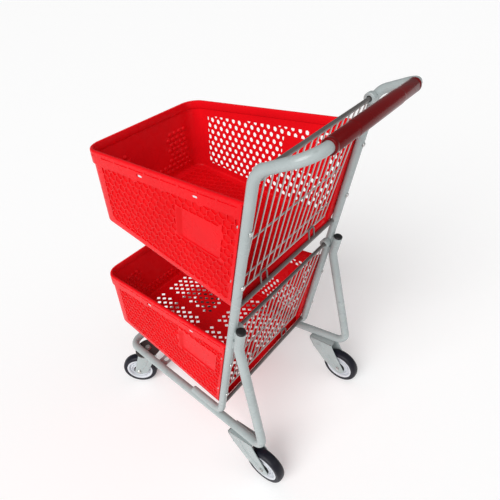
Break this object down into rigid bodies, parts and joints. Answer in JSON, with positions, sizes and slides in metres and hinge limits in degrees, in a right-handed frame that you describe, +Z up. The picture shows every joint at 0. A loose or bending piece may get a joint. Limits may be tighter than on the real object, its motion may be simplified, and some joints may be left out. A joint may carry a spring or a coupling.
{
  "type": "basket trolley",
  "caption": "Two-tier shopping trolley with moulded baskets, hinged rear gates, a tubular frame, rigid rear casters and swivel front casters.",
  "frame": {"origin": "on the floor, under the middle of the trolley's length and width", "axes": "+X forward in the direction of travel, +Y the trolley's left side, +Z up"},
  "size_m": [0.8756, 0.5024, 1.091],
  "materials": {
    "red_plastic": "satin moulded",
    "grip_plastic": "smooth",
    "grey_paint": "powder coat",
    "dark_steel": "dark coated wire",
    "zinc": "zinc plated",
    "black_plastic": "matt",
    "hub_plastic": "satin",
    "tread": "smooth polyurethane"
  },
  "bodies": {
    "frame": {"chassis_tube": "grey_paint", "front_cross_bar": "grey_paint", "front_left_caster_plate": "grey_paint", "front_left_kingpin": "zinc", "front_left_swivel_race": "zinc", "front_right_caster_plate": "grey_paint", "front_right_kingpin": "zinc", "front_right_swivel_race": "zinc", "handle_grip": "grip_plastic", "lower_basket": "red_plastic", "lower_basket_bolt_bottom_left": "zinc", "lower_basket_bolt_bottom_right": "zinc", "lower_basket_bolt_top_left": "zinc", "lower_basket_bolt_top_right": "zinc", "lower_cross_tube": "dark_steel", "lower_gate_eye_left": "grey_paint", "lower_gate_eye_right": "grey_paint", "lower_gate_stop_left": "dark_steel", "lower_gate_stop_right": "dark_steel", "main_frame": "grey_paint", "rear_left_axle_bolt": "zinc", "rear_left_fork": "grey_paint", "rear_right_axle_bolt": "zinc", "rear_right_fork": "grey_paint", "strut_plug_left": "black_plastic", "strut_plug_right": "black_plastic", "upper_basket": "red_plastic", "upper_basket_bolt_bottom_left": "zinc", "upper_basket_bolt_bottom_right": "zinc", "upper_basket_bolt_top_left": "zinc", "upper_basket_bolt_top_right": "zinc", "upper_cross_tube": "dark_steel", "upper_gate_eye_left": "grey_paint", "upper_gate_eye_right": "grey_paint", "upper_gate_stop_left": "dark_steel", "upper_gate_stop_right": "dark_steel"},
    "upper_gate": {"upper_gate_rod": "dark_steel", "upper_gate_grid": "dark_steel"},
    "lower_gate": {"lower_gate_rod": "dark_steel", "lower_gate_grid": "dark_steel"},
    "front_left_swivel": {"front_left_swivel_fork": "grey_paint", "front_left_axle_bolt": "zinc"},
    "front_left_wheel": {"front_left_tyre": "tread", "front_left_wheel_hub": "hub_plastic", "front_left_wheel_bush": "black_plastic"},
    "rear_left_wheel": {"rear_left_tyre": "tread", "rear_left_wheel_hub": "hub_plastic", "rear_left_wheel_bush": "black_plastic"},
    "front_right_swivel": {"front_right_swivel_fork": "grey_paint", "front_right_axle_bolt": "zinc"},
    "front_right_wheel": {"front_right_tyre": "tread", "front_right_wheel_hub": "hub_plastic", "front_right_wheel_bush": "black_plastic"},
    "rear_right_wheel": {"rear_right_tyre": "tread", "rear_right_wheel_hub": "hub_plastic", "rear_right_wheel_bush": "black_plastic"}
  },
  "joints": [
    {"name": "upper_gate_hinge", "type": "hinge", "parent": "frame", "child": "upper_gate", "pos_m": [-0.31261, 0, 1.026], "axis": [0, -1, 0], "range_deg": [0, 75]},
    {"name": "lower_gate_hinge", "type": "hinge", "parent": "frame", "child": "lower_gate", "pos_m": [-0.19009, 0, 0.59], "axis": [0, -1, 0], "range_deg": [0, 75]},
    {"name": "rear_left_wheel_spin", "type": "hinge", "parent": "frame", "child": "rear_left_wheel", "pos_m": [-0.2318, 0.2246, 0.0625], "axis": [0, 1, 0], "continuous": true},
    {"name": "front_left_swivel", "type": "hinge", "parent": "frame", "child": "front_left_swivel", "pos_m": [0.3392, 0.1585, 0.155], "axis": [0, 0, 1], "continuous": true},
    {"name": "front_left_wheel_spin", "type": "hinge", "parent": "front_left_swivel", "child": "front_left_wheel", "pos_m": [0.38193, 0.189, 0.0625], "axis": [-0.581, 0.8139, 0], "continuous": true},
    {"name": "rear_right_wheel_spin", "type": "hinge", "parent": "frame", "child": "rear_right_wheel", "pos_m": [-0.2318, -0.2246, 0.0625], "axis": [0, 1, 0], "continuous": true},
    {"name": "front_right_swivel", "type": "hinge", "parent": "frame", "child": "front_right_swivel", "pos_m": [0.3392, -0.1585, 0.155], "axis": [0, 0, 1], "continuous": true},
    {"name": "front_right_wheel_spin", "type": "hinge", "parent": "front_right_swivel", "child": "front_right_wheel", "pos_m": [0.38193, -0.189, 0.0625], "axis": [0.581, 0.8139, 0], "continuous": true}
  ]
}
